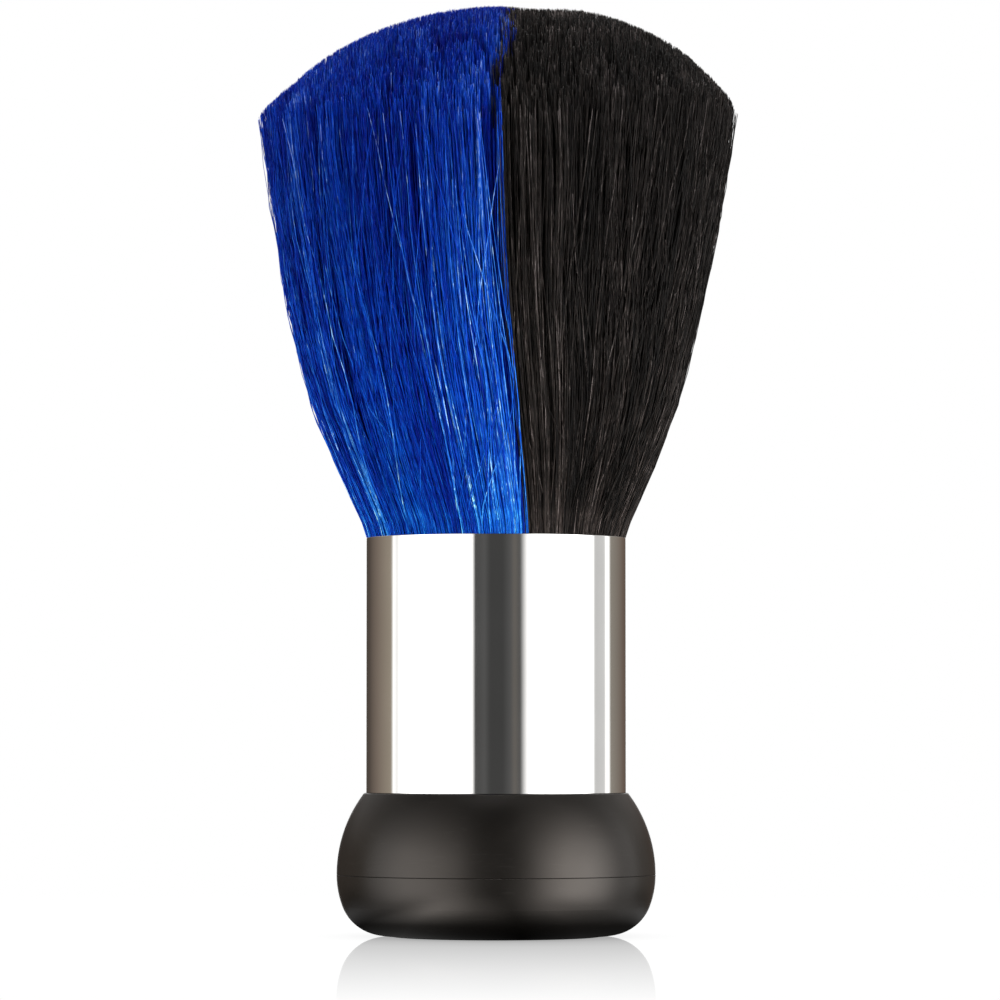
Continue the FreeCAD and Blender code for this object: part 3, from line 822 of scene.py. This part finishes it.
# The studio as the brush sees it: brightness by azimuth in degrees, times brightness by height, which
# runs from -1, straight down, to 1, straight up. The edges of the ferrule reflect the tinted bands.
STUDIO_LIGHT = 5.5
STUDIO_BANDS = [
    (-180, 0.2),
    (-169.5, 0.2),
    (-168.5, (0.012, 0.010, 0.008)),
    (-151.5, (0.015, 0.012, 0.010)),
    (-130, (0.035, 0.028, 0.023)),
    (-106, (0.058, 0.050, 0.040)),
    (-103, 0.24),
    (-98, 0.17),
    (-92, 0.30),
    (-68, 0.57),
    (-50, 0.55),
    (-21, 0.25),
    (-18.5, 0.013),
    (-10, 0.017),
    (-5, 0.010),
    (6, 0.010),
    (12.6, 0.017),
    (16.2, (0.026, 0.024, 0.022)),
    (21.5, 0.016),
    (27, 0.2),
    (36, 0.6),
    (55, 1.0),
    (72, 1.0),
    (95.5, 0.25),
    (98, 0.108),
    (112, 0.12),
    (114, 0.25),
    (119, 0.25),
    (122, (0.050, 0.046, 0.040)),
    (153, (0.027, 0.020, 0.016)),
    (168.5, (0.020, 0.015, 0.012)),
    (169.5, 0.2),
]
STUDIO_HEIGHTS = [
    (-1.0, 0.0),
    (-0.9, 0.05),
    (-0.64, 0.6),
    (-0.35, 1.0),
    (0.25, 1.0),
    (0.5, 0.46),
    (0.77, 0.11),
    (0.95, 0.04),
]

# Behind the brush the studio is dark near the floor and faintly lit higher up.
BACK_BANDS = [(-180, 1.0), (-130, 1.0), (-85, 0.0), (85, 0.0), (130, 1.0)]
BACK_HEIGHTS = [(0.12, 0.0), (0.35, 1.0), (0.65, 1.0), (0.85, 0.0)]
BACK_LIGHT = 0.06
LOW_BACK = (-0.25, -0.1)
LOW_BACK_SHADE = 0.85

OVERHEAD_HEIGHTS = (0.975, 0.99)
OVERHEAD_LIGHT = 4.5


def make_world():
    """White to the camera, and round the brush a soft box on each side and a light overhead."""
    world = bpy.data.worlds.new("studio")
    world.use_nodes = True
    tree = world.node_tree
    tree.nodes.clear()
    direction = add(tree, "TexCoord").outputs["Generated"]
    axes = add(tree, "SeparateXYZ", {"Vector": direction}).outputs
    front = math_node(tree, "MULTIPLY", axes["Y"], -1.0)
    azimuth = math_node(tree, "ARCTAN2", axes["X"], front)
    share = map_range(tree, azimuth, (-math.pi, math.pi), (0.0, 1.0))
    bands = ramp(tree, share, spread_stops(STUDIO_BANDS, -180, 180))
    rise = map_range(tree, axes["Z"], (-1.0, 1.0), (0.0, 1.0))
    fall = ramp(tree, rise, spread_stops(STUDIO_HEIGHTS, -1, 1))
    light = blend_colours(tree, "MULTIPLY", 1.0, bands, fall)
    behind = ramp(tree, share, spread_stops(BACK_BANDS, -180, 180))
    low = map_range(tree, axes["Z"], LOW_BACK, (LOW_BACK_SHADE, 0.0))
    ahead = blend_colours(tree, "MIX", behind, WHITE, BLACK)
    light = blend_colours(tree, "MULTIPLY", low, light, ahead)
    high = ramp(tree, rise, spread_stops(BACK_HEIGHTS, -1, 1))
    back = blend_colours(tree, "MULTIPLY", 1.0, behind, high)
    light = blend_colours(tree, "ADD", BACK_LIGHT, light, back)
    overhead = map_range(tree, axes["Z"], OVERHEAD_HEIGHTS, (0.0, 1.0))
    light = blend_colours(tree, "ADD", overhead, light, (OVERHEAD_LIGHT,) * 3 + (1,))
    studio = add(tree, "Background", {"Color": light, "Strength": STUDIO_LIGHT})
    paper = add(tree, "Background", {"Color": WHITE, "Strength": 1.0})
    seen = add(tree, "LightPath").outputs["Is Camera Ray"]
    shaders = {0: seen, 1: studio.outputs[0], 2: paper.outputs[0]}
    mixed = add(tree, "MixShader", shaders)
    add(tree, "OutputWorld", {"Surface": mixed.outputs[0]})
    bpy.context.scene.world = world


def floor_material():
    """White and glossy to the camera, and to the brush only a glow near its base."""
    material, tree = new_material("pale_floor")
    place = add(tree, "TexCoord").outputs["Object"]
    distance = add(tree, "VectorMath", {0: place}, operation="LENGTH").outputs["Value"]
    near = map_range(tree, distance, (0.0, GLOSS_FADE), (FLOOR_GLOSS, 0.0))
    fresnel = add(tree, "Fresnel", {"IOR": FLOOR_IOR}).outputs[0]
    gloss = math_node(tree, "MULTIPLY", near, fresnel, clamp=True)
    seen = add(tree, "LightPath").outputs["Is Camera Ray"]
    # Painted contact shadow: the white the camera sees is dimmed where the brush is near.
    shade = add(tree, "AmbientOcclusion", {"Distance": CONTACT_REACH}, samples=8).outputs["AO"]
    contact = map_range(tree, shade, (0.0, 1.0), (CONTACT_SHADE, 1.0))
    paper = add(tree, "Emission", {"Color": WHITE, "Strength": contact})
    mirror = add(tree, "BsdfGlossy", {"Color": WHITE, "Roughness": FLOOR_ROUGHNESS})
    shown = add(tree, "MixShader", {0: gloss, 1: paper.outputs[0], 2: mirror.outputs[0]})
    shadow = map_range(tree, distance, SHADOW_EDGE, (0.0, 1.0), smooth=True)
    axes = add(tree, "SeparateXYZ", {"Vector": place}).outputs
    across = map_range(tree, axes["X"], (-GLOW_REACH, GLOW_REACH), (0.0, 1.0))
    patches = ramp(tree, across, spread_stops(GLOW_PATCHES, -1, 1))
    facing = map_range(tree, axes["Y"], (-GLOW_REACH, GLOW_REACH), (1.0, 0.0))
    lobes = math_node(tree, "MULTIPLY", patches, facing)
    glow = math_node(tree, "MULTIPLY", lobes, map_range(tree, distance, NEAR_FLOOR, NEAR_GLOW))
    lit = add(tree, "Emission", {"Color": WHITE, "Strength": glow})
    clear = add(tree, "BsdfTransparent")
    unseen = add(tree, "MixShader", {0: shadow, 1: lit.outputs[0], 2: clear.outputs[0]})
    mixed = add(tree, "MixShader", {0: seen, 1: unseen.outputs[0], 2: shown.outputs[0]})
    add(tree, "OutputMaterial", {"Surface": mixed.outputs[0]})
    return material


def make_stage():
    bpy.ops.mesh.primitive_plane_add(size=2 * FLOOR_REACH, location=(0, 0, 0))
    floor = bpy.context.active_object
    floor.name = "floor"
    floor.data.materials.append(floor_material())


def make_camera():
    data = bpy.data.cameras.new("camera")
    data.lens = CAMERA_LENS
    data.clip_start = CAMERA_NEAR
    camera = bpy.data.objects.new("camera", data)
    camera.location = CAMERA_PLACE
    camera.rotation_euler = (CAMERA_TILT, 0, 0)
    bpy.context.scene.collection.objects.link(camera)
    bpy.context.scene.camera = camera
    bpy.context.scene.view_settings.view_transform = "Standard"


make_camera()
make_world()
make_stage()
dress_nodes()
make_hair()

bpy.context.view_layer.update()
